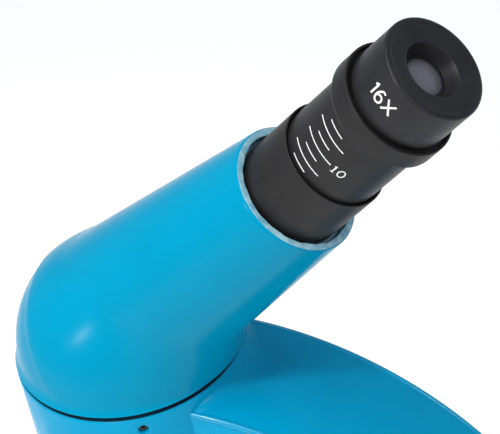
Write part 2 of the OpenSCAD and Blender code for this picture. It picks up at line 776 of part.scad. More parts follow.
module head_housing()
    color("deepskyblue")
    difference() {
        union() {
            head_skin();
            translate([0, 0, seam_z]) cylinder(r = head_r - 1.6, h = 1, $fn = 96);
        }
        intersection() {
            translate([0, 0, seam_z + axis_rise]) sphere(r = ball_r - 5, $fn = 96);
            translate([-60, -60, seam_z + 5]) cube([120, 120, 80]);
        }
        translate([0, 0, seam_z - 1]) cylinder(r = 21, h = 12, $fn = 96);
        on_tube(16) cylinder(r = sleeve_r + 0.02, h = rim_s, $fn = 96);
        on_tube(rim_s - 3) cylinder(r = sleeve_r + 1, h = 4, $fn = 96);
    }

module mount_ring()
    color("dimgray")
    difference() {
        union() {
            translate([0, 0, seam_z - 14]) cylinder(r = seat_r, h = 14, $fn = 96);
            translate([0, 0, seam_z - eps]) cylinder(r = 20.98, h = 4.7, $fn = 96);
        }
        translate([0, 0, seam_z - 15]) cylinder(r = 16, h = 30, $fn = 96);
        translate([0, 0, seam_z - 5]) rotate_extrude($fn = 96)
            polygon([[seat_r - 1.8, -0.3], [seat_r + 1, -2.8], [seat_r + 1, 2.8], [seat_r - 1.8, 0.3]]);
    }

// Prism that turns the light from the vertical into the tilted tube
module prism()
    color("lightcyan", 0.5)
    translate([0, 9, seam_z + 1.7]) rotate([90, 0, 0]) linear_extrude(18)
        polygon([[-9, 5], [9, 5], [15.4, 11.4], [2, 25], [-9, 14]]);

module prism_holder()
    color("silver")
    for (side = [-1, 1])
        translate([0, side * 9.6 + 0.5, seam_z + 4.7]) rotate([90, 0, 0]) linear_extrude(1)
            polygon([[-15, 0], [15, 0], [15, 8], [3, 20], [-15, 12]]);

module eyepiece_sleeve()
    color("black")
    on_tube() difference() {
        union() {
            translate([0, 0, rim_s - 36]) cylinder(r = sleeve_r, h = sleeve_out + 35.2, $fn = 96);
            translate([0, 0, lip_s - 0.8 - eps])
                cylinder(r1 = sleeve_r, r2 = sleeve_r - 0.5, h = 0.8, $fn = 96);
        }
        translate([0, 0, rim_s - 40]) cylinder(r = draw_r + 0.05, h = 90, $fn = 96);
    }

// ---- draw tube and eyepiece ----

module draw_tube()
    color("black")
    on_tube() difference() {
        union() {
            translate([0, 0, draw_inner])
                cylinder(r = draw_r, h = collar_s - draw_inner - collar_h, $fn = 96);
            translate([0, 0, collar_s - collar_h - 1.6])
                cylinder(r1 = draw_r - eps, r2 = collar_r, h = 1.6, $fn = 96);
            translate([0, 0, collar_s - collar_h - eps]) cylinder(r = collar_r, h = collar_h, $fn = 96);
        }
        translate([0, 0, draw_inner - 1]) cylinder(r = 10.5, h = 120, $fn = 96);
        translate([0, 0, collar_s - 29]) cylinder(r = barrel_r + 0.03, h = 40, $fn = 96);
        translate([0, 0, collar_s - 1.4]) tube(collar_r - 0.5, cap_r - 0.6, 3);
        translate([0, 0, draw_inner - 1]) cylinder(r = 12.5, h = 9, $fn = 96);
    }

module barlow_cell()
    color("black")
    on_tube(draw_inner - 3) difference() {
        union() {
            cylinder(r = 13.4, h = 3, $fn = 96);
            translate([0, 0, 3 - eps]) cylinder(r = 12.48, h = 7, $fn = 96);
        }
        translate([0, 0, -1]) cylinder(r = 8.4, h = 14, $fn = 96);
        translate([0, 0, 5]) cylinder(r = 9.6, h = 8, $fn = 96);
    }

module barlow_lens()
    color("lightcyan", 0.5)
    on_tube(draw_inner + 2) difference() {
        cylinder(r = 9.55, h = 4, $fn = 64);
        translate([0, 0, 17]) sphere(r = 15, $fn = 128);
    }

module eyepiece_cap()
    color("black")
    on_tube(cap_s) rotate_extrude($fn = 128)
        polygon(concat(
            [[barrel_r - 1.2, 0], [cap_r, 0], [cap_r, cap_h - 2.6]],
            [for (a = [15 : 15 : 75]) [cap_r - 1.6 + 1.6 * cos(a), cap_h - 2.6 + 2.4 * sin(a)]],
            [[cap_r - 1.6, cap_h - 0.2], [cap_r - 2.4, cap_h - 0.5], [8.8, cap_h - 1.2], [8.2, cap_h - 1.4],
             [6.4, cap_h - 5.2], [6.4, 8], [barrel_r - 1.2, 4]]));

module eyepiece_barrel()
    color("dimgray")
    on_tube(cap_s - 27) difference() {
        union() {
            cylinder(r = barrel_r, h = 27, $fn = 96);
            translate([0, 0, 27 - eps]) cylinder(r = barrel_r - 1.22, h = 3.4, $fn = 96);
        }
        translate([0, 0, -1]) cylinder(r = 9.6, h = 40, $fn = 96);
    }

module eye_lens()
    color("lightcyan", 0.5)
    on_tube(cap_s + 8) lens(6.35, 1, 2);

module field_lens()
    color("lightcyan", 0.5)
    on_tube(cap_s - 25.5) lens(9.55, 1.5, 2.4);

// ---- nodes ----

place() base_shell();
place() bottom_plate();
place() battery_door();
place() door_screw();
place() rubber_feet();
place() plate_screws();
place() batteries();
place() battery_springs();
place() led_board();
place() dc_jack();
place() lower_led();
place() illuminator_housing();
place() illuminator_lens();
place() power_rocker();
place() dimmer_wheel();
place() wiring();
place() arm();
place() arm_bolts();
place() guide_rails();
place() shaft_bushes();
place() focus_shaft();
place() focus_pinion();
place() focus_knob(1);  // focus_knob_left
place() focus_knob(-1);  // focus_knob_right
place() stage_slide();
place() focus_rack();
place() stage_plate();
place() stage_screws();
place() clip_posts();
place() stage_clip(1);  // clip_left
place() stage_clip(-1);  // clip_right
place() condenser_cell();
place() condenser_lens();
place() diaphragm_disc();
place() diaphragm_screw();
place() upper_lamp_housing();
place() upper_lamp_led();
place() nose_mount();
place() turret_pivot();
place() click_spring();
place() turret();
place() objective_4x();
place() objective_10x();
place() objective_40x();
place() objective_40x_nose();
place() nose_spring();
place() objective_lenses();
place() head_housing();
place() mount_ring();
place() head_set_screw();
place() prism();
place() prism_holder();
place() eyepiece_sleeve();
place() draw_tube();
place() barlow_cell();
place() barlow_lens();
place() eyepiece_cap();
place() eyepiece_barrel();
place() eye_lens();
place() field_lens();
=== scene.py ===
import math
import random

import bmesh
import bpy
import numpy as np
from mathutils import Matrix, Vector


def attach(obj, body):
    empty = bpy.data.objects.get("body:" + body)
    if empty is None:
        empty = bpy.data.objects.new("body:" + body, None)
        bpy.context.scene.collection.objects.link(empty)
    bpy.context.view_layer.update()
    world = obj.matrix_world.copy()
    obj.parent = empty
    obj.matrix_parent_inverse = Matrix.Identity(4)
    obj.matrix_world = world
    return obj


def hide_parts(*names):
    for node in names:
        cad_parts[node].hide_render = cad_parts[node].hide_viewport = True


MM = 0.001
AXIS_X = -28.0          # optical axis, in the part's frame
SEAM = 230.0            # joint between arm and head
TILT = 45.0             # tilt of the eyepiece tube
HEAD_R = 34.4           # foot of the head casting
# along the tube: _S is a distance from its foot, _R a radius
RIM_S, RIM_R, RIM_IN, RIM_DEPTH = 92.0, 19.0, 16.8, 3.0
SLEEVE_R, SLEEVE_S, LIP_S = 15.75, 56.0, 111.0
DRAW_R, DRAW_S, COLLAR_R, COLLAR_S = 14.7, 61.0, 16.8, 141.0
CAP_R, CAP_S, CAP_H = 15.0, 141.35, 15.4
BARREL_R, LENS_R = 11.63, 6.3                          # bore that takes the eyepiece, eye lens
ARM_W, ARM_R, ARM_C = 21.0, 105.8, (19.5, -111.0)      # half width and the arc of the arm's top
BACK_R, BACK_C = 74.8, (42.2, -89.9)                   # arc that turns down into the arm's back
BACK_X, BACK_RUN, BACK_DROP = 117.0, 2.0, 101.6        # straight back, down to the base
FIRST_TURN, MEET_TURN = 4.4, 47.1                      # degrees from upright: at the collar, where the arcs meet
DOUBLE, MERGE = 1e-7, 1e-6                             # points closer than this, in m, are one: lathed, CAD
TURNED_HARD, CAD_HARD = 35, 38                         # edges sharper than this, in degrees, are hard

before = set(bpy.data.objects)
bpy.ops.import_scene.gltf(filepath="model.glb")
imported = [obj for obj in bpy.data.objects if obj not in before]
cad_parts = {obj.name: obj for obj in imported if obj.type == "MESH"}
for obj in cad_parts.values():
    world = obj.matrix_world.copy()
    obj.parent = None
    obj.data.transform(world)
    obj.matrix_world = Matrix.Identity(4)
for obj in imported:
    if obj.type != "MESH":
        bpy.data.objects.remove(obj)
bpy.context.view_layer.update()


# ---- coordinates ----

def at(x, y, z):
    """Point measured in mm from the optical axis, with z above the table."""
    return Vector(((x + AXIS_X) * MM, y * MM, z * MM))


BALL_R, BALL_Z = 33.15, 1.7         # ball of the head casting; the tube's axis starts at its middle
TUBE = Matrix.Translation(at(0, 0, SEAM + BALL_Z)) @ Matrix.Rotation(math.radians(90 - TILT), 4, "Y")
CAP_PLACE = TUBE @ Matrix.Translation((0, 0, CAP_S * MM))


def on_tube(s, r, turn):
    """Point on the tube at distance s along it; turn 0 is +Y, 90 is the upper side, 180 is -Y."""
    a = math.radians(turn)
    return TUBE @ Vector((-r * math.sin(a) * MM, r * math.cos(a) * MM, s * MM))


# ---- meshes ----

def piece(name, verts, faces, body, mat, angle=None):
    """Smooth-shaded mesh that rides on a body; edges sharper than angle, in degrees, stay hard."""
    mesh = bpy.data.meshes.new(name)
    mesh.from_pydata([tuple(v) for v in verts], [], faces)
    mesh.validate()
    mesh.update()
    obj = bpy.data.objects.new(name, mesh)
    bpy.context.collection.objects.link(obj)
    bm = bmesh.new()
    bm.from_mesh(mesh)
    bmesh.ops.recalc_face_normals(bm, faces=bm.faces)
    if angle is not None:
        for e in bm.edges:
            e.smooth = len(e.link_faces) < 2 or e.calc_face_angle(0) < math.radians(angle)
    bm.to_mesh(mesh)
    bm.free()
    for p in mesh.polygons:
        p.use_smooth = True
    mesh.materials.append(mat)
    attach(obj, body)
    return obj


def rounded(points, radii, steps=5):
    """Open outline with its corners rounded: radii has one value for each inner point."""
    out = [Vector(points[0])]
    for i in range(1, len(points) - 1):
        p0, p1, p2 = (Vector(points[k]) for k in (i - 1, i, i + 1))
        r = radii[i - 1]
        if r <= 0:
            out.append(p1)
            continue
        a, b = (p0 - p1).normalized(), (p2 - p1).normalized()
        half = math.acos(max(-1, min(1, a.dot(b)))) / 2
        cut = min(r / math.tan(half), 0.48 * (p0 - p1).length, 0.48 * (p2 - p1).length)
        q0, q2 = p1 + a * cut, p1 + b * cut
        for k in range(steps + 1):
            t = k / steps
            out.append(q0 * (1 - t) ** 2 + p1 * 2 * t * (1 - t) + q2 * t * t)
    out.append(Vector(points[-1]))
    return out


def lathe(name, outline, place, body, mat, closed=True, n=160):
    """Turns an outline of (radius, height) in mm round the place's z axis."""
    verts, faces = [], []
    m = len(outline)
    for k in range(n):
        a = 2 * math.pi * k / n
        for r, h in outline:
            verts.append(place @ Vector((r * math.cos(a) * MM, r * math.sin(a) * MM, h * MM)))
    last = m if closed else m - 1
    for k in range(n):
        for j in range(last):
            a, b = k * m + j, k * m + (j + 1) % m
            c, d = ((k + 1) % n) * m + (j + 1) % m, ((k + 1) % n) * m + j
            faces.append((a, b, c, d))
    obj = piece(name, verts, faces, body, mat, angle=TURNED_HARD)
    bm = bmesh.new()
    bm.from_mesh(obj.data)
    bmesh.ops.remove_doubles(bm, verts=bm.verts, dist=DOUBLE)
    bm.to_mesh(obj.data)
    bm.free()
    return obj


# ---- materials ----

def material(name):
    mat = bpy.data.materials.new(name)
    mat.use_nodes = True
    nodes, links = mat.node_tree.nodes, mat.node_tree.links
    nodes.clear()
    out = nodes.new("ShaderNodeOutputMaterial")
    shader = nodes.new("ShaderNodeBsdfPrincipled")
    links.new(shader.outputs[0], out.inputs[0])
    coord = nodes.new("ShaderNodeTexCoord")
    return mat, nodes, links, shader, coord.outputs["Object"]


def noise(nodes, links, coord, scale, detail=3.0, rough=0.5):
    n = nodes.new("ShaderNodeTexNoise")
    n.inputs["Scale"].default_value = scale
    n.inputs["Detail"].default_value = detail
    n.inputs["Roughness"].default_value = rough
    links.new(coord, n.inputs["Vector"])
    return n.outputs["Fac"]


def ramp(nodes, links, value, stops):
    r = nodes.new("ShaderNodeValToRGB")
    links.new(value, r.inputs[0])
    while len(r.color_ramp.elements) < len(stops):
        r.color_ramp.elements.new(0.5)
    for e, (pos, col) in zip(r.color_ramp.elements, stops):
        e.position = pos
        e.color = (*col, 1) if len(col) == 3 else (col[0], col[0], col[0], 1)
    return r.outputs[0]


def roughness(nodes, links, shader, value, low, high, span=(0.0, 1.0)):
    """Roughness from low to high, as the noise value goes through span."""
    r = nodes.new("ShaderNodeMapRange")
    r.inputs["From Min"].default_value, r.inputs["From Max"].default_value = span
    r.inputs["To Min"].default_value, r.inputs["To Max"].default_value = low, high
    links.new(value, r.inputs["Value"])
    links.new(r.outputs[0], shader.inputs["Roughness"])


def bump(nodes, links, shader, heights, strength):
    """heights is a list of (noise value, depth in mm)."""
    normal = None
    for value, depth in heights:
        b = nodes.new("ShaderNodeBump")
        b.inputs["Strength"].default_value = strength
        b.inputs["Distance"].default_value = depth * MM
        links.new(value, b.inputs["Height"])
        if normal is not None:
            links.new(normal, b.inputs["Normal"])
        normal = b.outputs[0]
    links.new(normal, shader.inputs["Normal"])


def surface(name, dark, light, rough=(0.35, 0.45), metal=0.0, fine=900.0, broad=40.0, fine_mm=0.02,
            broad_mm=0.0, specular=0.5, strength=0.3):
    """Painted, moulded or metal surface: broad colour drift, fine grain in bump and roughness."""
    mat, nodes, links, shader, coord = material(name)
    drift = noise(nodes, links, coord, broad, 4.0, 0.55)
    grain = noise(nodes, links, coord, fine, 2.0, 0.5)
    links.new(ramp(nodes, links, drift, [(0.35, dark), (0.65, light)]), shader.inputs["Base Color"])
    roughness(nodes, links, shader, grain, rough[0], rough[1], (0.3, 0.7))
    shader.inputs["Metallic"].default_value = metal
    shader.inputs["Specular IOR Level"].default_value = specular
    heights = [(grain, fine_mm)]
    if broad_mm:
        heights.append((drift, broad_mm))
    bump(nodes, links, shader, heights, strength)
    return mat


def glass(name, tint, rough=0.02, ior=1.5, clear=1.0):
    mat, nodes, links, shader, coord = material(name)
    smear = noise(nodes, links, coord, 60.0, 4.0, 0.6)
    roughness(nodes, links, shader, smear, rough, rough + 0.05)
    links.new(ramp(nodes, links, smear, [(0.3, tint), (0.7, tuple(min(1, c * 1.04) for c in tint))]),
              shader.inputs["Base Color"])
    shader.inputs["Transmission Weight"].default_value = clear
    shader.inputs["IOR"].default_value = ior
    return mat


# painted light: the arm's copy of the same blue enamel is made about 1.12 times lighter than the head's, standing in
# for light on the arm
ARM_BLUE_PAINTED_LIGHTER = (0.0, 0.292, 0.505), (0.0, 0.308, 0.532)
ARM_ENAMEL = {"rough": (0.13, 0.18), "fine": 1500.0, "broad": 30.0, "fine_mm": 0.006, "broad_mm": 0.02}
M = {
    "paint": surface("blue_paint", (0.0, 0.252, 0.418), (0.0, 0.266, 0.442), (0.17, 0.23), fine=1500.0, broad=30.0,
                     fine_mm=0.024, broad_mm=0.03, specular=0.06),
    # the arm, its blend and its edge strips take this painted-lighter blue; the edge copy also has a higher specular
    # so the strips catch the edge lamp's glint
    "gloss_painted_lighter": surface("arm_enamel_gloss_painted_lighter", *ARM_BLUE_PAINTED_LIGHTER, specular=0.10, **ARM_ENAMEL),
    "edge_painted_lighter": surface("arm_enamel_edge_painted_lighter", *ARM_BLUE_PAINTED_LIGHTER, specular=0.42, **ARM_ENAMEL),
    "rim": surface("bare_rim", (0.17, 0.42, 0.56), (0.42, 0.66, 0.74), (0.35, 0.6), metal=0.15, fine=1500.0,
                   broad=420.0, fine_mm=0.05, broad_mm=0.12, strength=0.6),
    "tube": surface("black_anodised", (0.012, 0.0110, 0.0112), (0.018, 0.0165, 0.0165), (0.34, 0.5), fine=2600.0,
                    broad=70.0, fine_mm=0.014, specular=0.22),
    "cap": surface("black_moulding", (0.013, 0.0125, 0.0145), (0.019, 0.0185, 0.021), (0.32, 0.44), fine=2400.0,
                   broad=90.0, fine_mm=0.012, specular=0.24),
    # near-black blue standing for the shadow inside the seam groove: painted shade
    "groove": surface("groove_painted_shade", (0.001, 0.010, 0.020), (0.002, 0.016, 0.032), (0.7, 0.9), fine=900.0, broad=80.0,
                      fine_mm=0.02, specular=0.1),
    "mark": surface("white_marking", (0.70, 0.70, 0.69), (0.86, 0.86, 0.85), (0.5, 0.65), fine=1800.0, broad=500.0,
                    fine_mm=0.01),
    "black_metal": surface("black_crackle", (0.012, 0.012, 0.013), (0.022, 0.022, 0.023), (0.42, 0.58), fine=1600.0,
                           broad=120.0, fine_mm=0.03),
    "black_plastic": surface("black_plastic", (0.014, 0.014, 0.015), (0.022, 0.022, 0.023), (0.45, 0.6), fine=1400.0,
                             broad=110.0, fine_mm=0.03),
    "rubber": surface("rubber", (0.010, 0.010, 0.010), (0.018, 0.018, 0.018), (0.75, 0.9), fine=900.0, broad=100.0,
                      fine_mm=0.06, specular=0.3),
    "steel": surface("steel", (0.52, 0.52, 0.53), (0.64, 0.64, 0.65), (0.22, 0.36), metal=1.0, fine=2200.0,
                     broad=200.0, fine_mm=0.008),
    "chrome": surface("chrome_plate", (0.70, 0.70, 0.72), (0.80, 0.80, 0.82), (0.08, 0.16), metal=1.0, fine=1800.0,
                      broad=120.0, fine_mm=0.004),
    "brass": surface("brass", (0.62, 0.43, 0.17), (0.74, 0.54, 0.24), (0.25, 0.4), metal=1.0, fine=1800.0,
                     broad=160.0, fine_mm=0.01),
    "alloy": surface("cast_alloy", (0.48, 0.48, 0.50), (0.60, 0.60, 0.62), (0.35, 0.5), metal=1.0, fine=1200.0,
                     broad=140.0, fine_mm=0.03),
    "battery_can": surface("battery_wrap", (0.42, 0.25, 0.06), (0.52, 0.33, 0.10), (0.25, 0.35), metal=0.6,
                           fine=900.0, broad=60.0, fine_mm=0.01),
    "board": surface("board_green", (0.01, 0.11, 0.045), (0.02, 0.17, 0.07), (0.3, 0.5), fine=1400.0, broad=300.0,
                     fine_mm=0.03),
    "wire": surface("wire_red", (0.42, 0.02, 0.02), (0.52, 0.04, 0.03), (0.35, 0.45), fine=900.0, broad=120.0,
                    fine_mm=0.01),
    "lamp": surface("lamp_white", (0.76, 0.76, 0.70), (0.86, 0.86, 0.80), (0.2, 0.3), fine=900.0, broad=120.0,
                    fine_mm=0.01),
    "frosted": surface("frosted_lens", (0.74, 0.76, 0.78), (0.84, 0.85, 0.86), (0.35, 0.5), fine=1500.0, broad=90.0,
                       fine_mm=0.02),
    "glass": glass("optical_glass", (0.95, 0.97, 0.98)),
    "eye_glass": glass("coated_eye_glass", (0.52, 0.50, 0.58), rough=0.20, ior=1.7, clear=0.82),
    "screw": surface("bronzed_screw", (0.20, 0.13, 0.08), (0.34, 0.24, 0.16), (0.3, 0.5), metal=0.9, fine=1600.0,
                     broad=300.0, fine_mm=0.02),
    "retainer": surface("inner_black", (0.004, 0.004, 0.005), (0.008, 0.008, 0.009), (0.55, 0.75), fine=1500.0,
                        broad=100.0, fine_mm=0.02, specular=0.3),
}


# ---- head casting: a ball blended into a slanting cone ----

NECK_R, NECK_SHIFT = 27.1, 6.3      # the cone where its axis leaves the ball
AXIS = np.array([math.cos(math.radians(TILT)), 0, math.sin(math.radians(TILT))])
ABOVE = np.array([-AXIS[2], 0, AXIS[0]])
BALL_C = np.array([0, 0, BALL_Z])
SEAT_Z = 0.75                       # lower edge of the casting above the seam
FILLET, FILLET_UNDER = 1.0, 12.0    # blend of ball and cone on top, and what is added towards the underside
FOOT_SPREAD, FOOT_RISE, FOOT_TOP = 1.25, 3.2, 3.5      # flare at the seat: width, height, where it stops


def skin_distance(p):
    """Distance in mm from the head's skin, negative inside; p is an array of points."""
    q = p - BALL_C
    ball = np.linalg.norm(q, axis=-1) - BALL_R
    s = q @ AXIS
    u = np.clip(1 - s / RIM_S, 0, 1)
    up = q @ ABOVE - NECK_SHIFT * u
    across = np.hypot(up, q[..., 1])
    cone = np.maximum(across - (RIM_R + (NECK_R - RIM_R) * u), -s)
    upper = np.clip(up / np.maximum(across, 1e-6), -1, 1)
    k = FILLET + FILLET_UNDER * (0.5 - 0.5 * upper) ** 0.8
    h = np.clip(1 - np.abs(ball - cone) / k, 0, 1)
    blend = np.minimum(ball, cone) - h * h * k / 4
    # the foot spreads a little to the seat
    flare = FOOT_SPREAD * np.clip((p[..., 2] - SEAT_Z) / FOOT_RISE, 0, 1) ** 0.7
    foot = np.hypot(p[..., 0], p[..., 1]) - (HEAD_R - flare)
    foot = np.where(p[..., 2] < FOOT_TOP, foot, 1e3)
    return np.minimum(blend, foot)


def head_casting():
    """Rings of the skin from the seat to the rim, and how many points each has."""
    # at a tilt of 45 degrees the seat plane and rim plane meet in this line; every section runs through it
    rim_middle = RIM_S * AXIS + BALL_C
    hinge = np.array([rim_middle[0] + rim_middle[2] - SEAT_Z, 0.0, SEAT_Z])
    sections, around, reach, halvings = 120, 192, 60.0, 40
    rings = []
    ang = np.arange(around) * 2 * math.pi / around
    for k in range(sections + 1):
        u = k / sections
        a = math.radians(180.0 + (TILT - 90.0) * u)
        out = np.array([math.cos(a), 0, math.sin(a)])
        origin = hinge + out * (hinge[0] * (1 - u) + np.linalg.norm(hinge - rim_middle) * u)
        dirs = np.cos(ang)[:, None] * np.array([0, 1.0, 0]) + np.sin(ang)[:, None] * out
        near, far = np.zeros(around), np.full(around, reach)
        for _ in range(halvings):
            mid = (near + far) / 2
            inside = skin_distance(origin + mid[:, None] * dirs) < 0
            near, far = np.where(inside, mid, near), np.where(inside, far, mid)
        rings.append(origin + near[:, None] * dirs)
    return rings, around


rings, around = head_casting()
verts, faces = [], []


def add_ring(points):
    start = len(verts)
    verts.extend(at(p[0], p[1], SEAM + p[2]) for p in points)
    if start:
        for k in range(around):
            n = (k + 1) % around
            faces.append((start - around + k, start - around + n, start + n, start + k))


def toward(points, centre, inset, lift):
    """Ring moved towards its centre by inset and along lift."""
    c = np.array(centre)
    v = points - c
    length = np.linalg.norm(v, axis=1, keepdims=True)
    return c + v * (1 - inset / length) + np.array(lift)


seat, rim = rings[0], rings[-1]
rim_c = RIM_S * AXIS + BALL_C
# core that shows in the groove, the seat's rounded edge, the skin, the rounded rim, the bore
add_ring(toward(seat, (0, 0, SEAT_Z), 13.3, (0, 0, -SEAT_Z)))
add_ring(toward(seat, (0, 0, SEAT_Z), 2.0, (0, 0, -SEAT_Z)))
add_ring(toward(seat, (0, 0, SEAT_Z), 2.0, (0, 0, 0.0)))
for inset, lift in ((0.5, 0.0), (0.24, 0.07), (0.08, 0.22)):
    add_ring(toward(seat, (0, 0, SEAT_Z), inset, (0, 0, lift)))
for r in rings[1:-1]:
    add_ring(r)
for inset, back in ((0.02, 0.55), (0.1, 0.25), (0.28, 0.07)):
    add_ring(toward(rim, rim_c, inset, -back * AXIS))
head = piece("head_casting", verts, faces, "head", M["paint"], angle=50)
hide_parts("head_housing")

# concave blend between the round collar and the arm's top, widest on the middle line; it takes the arm's
# painted-lighter blue, painted light
COLLAR_EDGE = -1.75                 # where the blend leaves the collar, from the seam
BLEND_REACH, BLEND_TUCK = 9.0, 0.3  # how far it runs over the arm, and into the collar


def arm_height(x):
    return ARM_C[1] + math.sqrt(ARM_R ** 2 - (x - ARM_C[0]) ** 2)


half_turn = math.degrees(math.asin((ARM_W - 1.0) / HEAD_R))
verts, faces = [], []
blend_n, across_n = 48, 10
for i in range(blend_n + 1):
    turn = math.radians(-half_turn + 2 * half_turn * i / blend_n)
    middle = math.cos(math.pi / 2 * (-1 + 2 * i / blend_n))
    x0, y0 = HEAD_R * math.cos(turn), HEAD_R * math.sin(turn)
    low = arm_height(x0)
    rise, reach = (COLLAR_EDGE - low) * middle ** 0.5, BLEND_REACH * middle ** 0.5 + 0.05
    for j in range(across_n + 1):
        u = j / across_n
        d = -BLEND_TUCK + (reach + BLEND_TUCK) * u
        x, y = x0 + d * math.cos(turn * 0.6), y0 + d * math.sin(turn * 0.6)
        y = max(-ARM_W + 0.6, min(ARM_W - 0.6, y))
        height = arm_height(x) + 0.02 + rise * (1 - u) ** 2.6 - (0.35 if j == across_n else 0)
        verts.append(at(x, y, SEAM + height))
for i in range(blend_n):
    for j in range(across_n):
        a = i * (across_n + 1) + j
        faces.append((a, a + 1, a + across_n + 2, a + across_n + 1))
arm_blend = piece("arm_blend", verts, faces, "stand", M["gloss_painted_lighter"])


def arc_path(centre, radius, first, last, n):
    """Points of an arc from the top down, each with its outward direction."""
    turns = [(math.sin(math.radians(a)), math.cos(math.radians(a))) for a in np.linspace(first, last, n)]
    return [(centre[0] + radius * x, centre[1] + radius * z, x, z) for x, z in turns]


# rounded edges along both sides of the arm's top and back, in the arm's painted-lighter blue with a higher specular so
# they catch the edge lamp's glint
path = arc_path(ARM_C, ARM_R, FIRST_TURN, MEET_TURN, 40) + arc_path(BACK_C, BACK_R, MEET_TURN + 0.9, 90.0, 36)
path += [(BACK_X + BACK_RUN * t, BACK_C[1] - BACK_DROP * t, 1.0, 0.02) for t in (0.25, 0.5, 0.75, 1.0)]
EDGE_R, EDGE_IN, edge_n = 0.95, 0.64, 14
for side, label in ((-1, "near"), (1, "far")):
    verts, faces = [], []
    for x, z, nx, nz in path:
        for k in range(edge_n):
            a = 2 * math.pi * k / edge_n
            out, up = EDGE_R * math.sin(a), EDGE_R * math.cos(a) - EDGE_IN
            verts.append(at(x + nx * up, side * (ARM_W - EDGE_IN + out), SEAM + z + nz * up))
    for i in range(len(path) - 1):
        for k in range(edge_n):
            a, b = i * edge_n + k, i * edge_n + (k + 1) % edge_n
            faces.append((a, b, b + edge_n, a + edge_n))
    faces.append(tuple(range(edge_n)))
    faces.append(tuple((len(path) - 1) * edge_n + k for k in range(edge_n)))
    edge = piece("arm_edge_" + label, verts, faces, "stand", M["edge_painted_lighter"], angle=50)

# near-black blue ring in the groove between the head and the arm: painted shade for the shadow inside the seam
groove_shade_ring = lathe("groove_shade_ring", rounded(
    [(HEAD_R - 6.0, -0.28), (HEAD_R - 0.78, -0.28), (HEAD_R - 0.36, -0.70), (HEAD_R - 0.30, -0.64),
     (HEAD_R - 1.15, 0.25), (HEAD_R - 1.15, 1.3), (HEAD_R - 6.0, 1.3), (HEAD_R - 6.0, -0.28)],
    [0.05, 0.0, 0.0, 0.1, 0.1, 0.1]), Matrix.Translation(at(0, 0, SEAM)), "head", M["groove"])

# ground face of the rim, a little uneven where the paint stops
random.seed(4)
rim_outline = rounded([(RIM_R - 0.28, RIM_S - 0.30), (RIM_R - 0.34, RIM_S), (RIM_IN, RIM_S),
                       (RIM_IN, RIM_S - RIM_DEPTH), (SLEEVE_R + 0.02, RIM_S - RIM_DEPTH)], [0.12, 0.35, 0.1])
rim_face = lathe("rim_face", rim_outline, TUBE, "head", M["rim"], closed=False, n=256)
for v in rim_face.data.vertices:
    p = TUBE.inverted() @ v.co
    r = math.hypot(p.x, p.y)
    if p.z > (RIM_S - 1.2) * MM and r < (RIM_IN + 0.7) * MM:
        wave = 0.10 * math.sin(9 * math.atan2(p.y, p.x)) + 0.08 * math.sin(23 * math.atan2(p.y, p.x) + 1)
        wave += random.uniform(-0.10, 0.10)
        p.x *= 1 + wave * MM / r
        p.y *= 1 + wave * MM / r
        v.co = TUBE @ p

# ---- sleeve, draw tube, eyepiece ----

sleeve = lathe("sleeve", rounded(
    [(DRAW_R + 0.05, SLEEVE_S), (SLEEVE_R, SLEEVE_S), (SLEEVE_R, LIP_S), (DRAW_R + 0.5, LIP_S),
     (DRAW_R + 0.05, LIP_S - 1.3), (DRAW_R + 0.05, SLEEVE_S)], [0.2, 0.55, 0.25, 0.1]), TUBE, "head", M["tube"])
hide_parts("eyepiece_sleeve")

draw = lathe("draw_tube_body", rounded(
    [(12.5, 61.3), (12.5, DRAW_S), (DRAW_R, DRAW_S), (DRAW_R, COLLAR_S - 8.6), (COLLAR_R, COLLAR_S - 6.6),
     (COLLAR_R, COLLAR_S), (COLLAR_R - 0.75, COLLAR_S), (COLLAR_R - 0.85, COLLAR_S - 1.4),
     (CAP_R - 0.55, COLLAR_S - 1.4), (CAP_R - 0.65, COLLAR_S), (BARREL_R, COLLAR_S), (BARREL_R, COLLAR_S - 29),
     (10.5, COLLAR_S - 29), (10.5, 70.0), (12.5, 70.0), (12.5, 61.3)],
    [0.1, 0.3, 1.8, 1.2, 0.45, 0.12, 0.1, 0.1, 0.12, 0.3, 0.1, 0.1, 0.1, 0.1]), TUBE, "draw_tube", M["tube"])
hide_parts("draw_tube")

cap = lathe("eyepiece_cup", rounded(
    [(10.45, 3.6), (10.45, 0.0), (CAP_R, 0.0), (CAP_R, CAP_H - 0.4), (CAP_R - 1.1, CAP_H), (CAP_R - 2.1, CAP_H - 0.35),
     (8.9, CAP_H - 0.85), (8.15, CAP_H - 1.0), (7.6, CAP_H - 2.2), (6.42, CAP_H - 5.0), (6.42, 8.0), (10.45, 4.0)],
    [0.1, 0.35, 1.7, 0.6, 0.5, 0.3, 0.4, 0.3, 0.3, 0.1], 6), CAP_PLACE, "eyepiece", M["cap"])
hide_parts("eyepiece_cap")

ring = lathe("lens_retainer", rounded(
    [(6.38, CAP_H - 5.1), (6.38, CAP_H - 6.1), (5.3, CAP_H - 6.1), (5.3, CAP_H - 5.4), (5.7, CAP_H - 5.1),
     (6.38, CAP_H - 5.1)], [0.05, 0.05, 0.1, 0.1]), CAP_PLACE, "eyepiece", M["retainer"])

eye = lathe("eye_lens_glass", [(0.001, 8.0), (LENS_R, 8.0), (LENS_R, 8.9)] +
            [(LENS_R * math.cos(a), 8.9 + 2.5 * math.sin(a)) for a in [0.16 * k for k in range(1, 10)]] +
            [(0.001, 11.4)], CAP_PLACE, "eyepiece", M["eye_glass"], closed=False)
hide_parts("eye_lens")


# ---- markings, laid on the curved surface as thin raised strips ----

LIFT, LONGEST = 0.03, 0.35          # height of a marking, longest straight step round a curved surface
LINE, STROKE = 0.34, 0.58           # widths of the scale's lines and of the power number


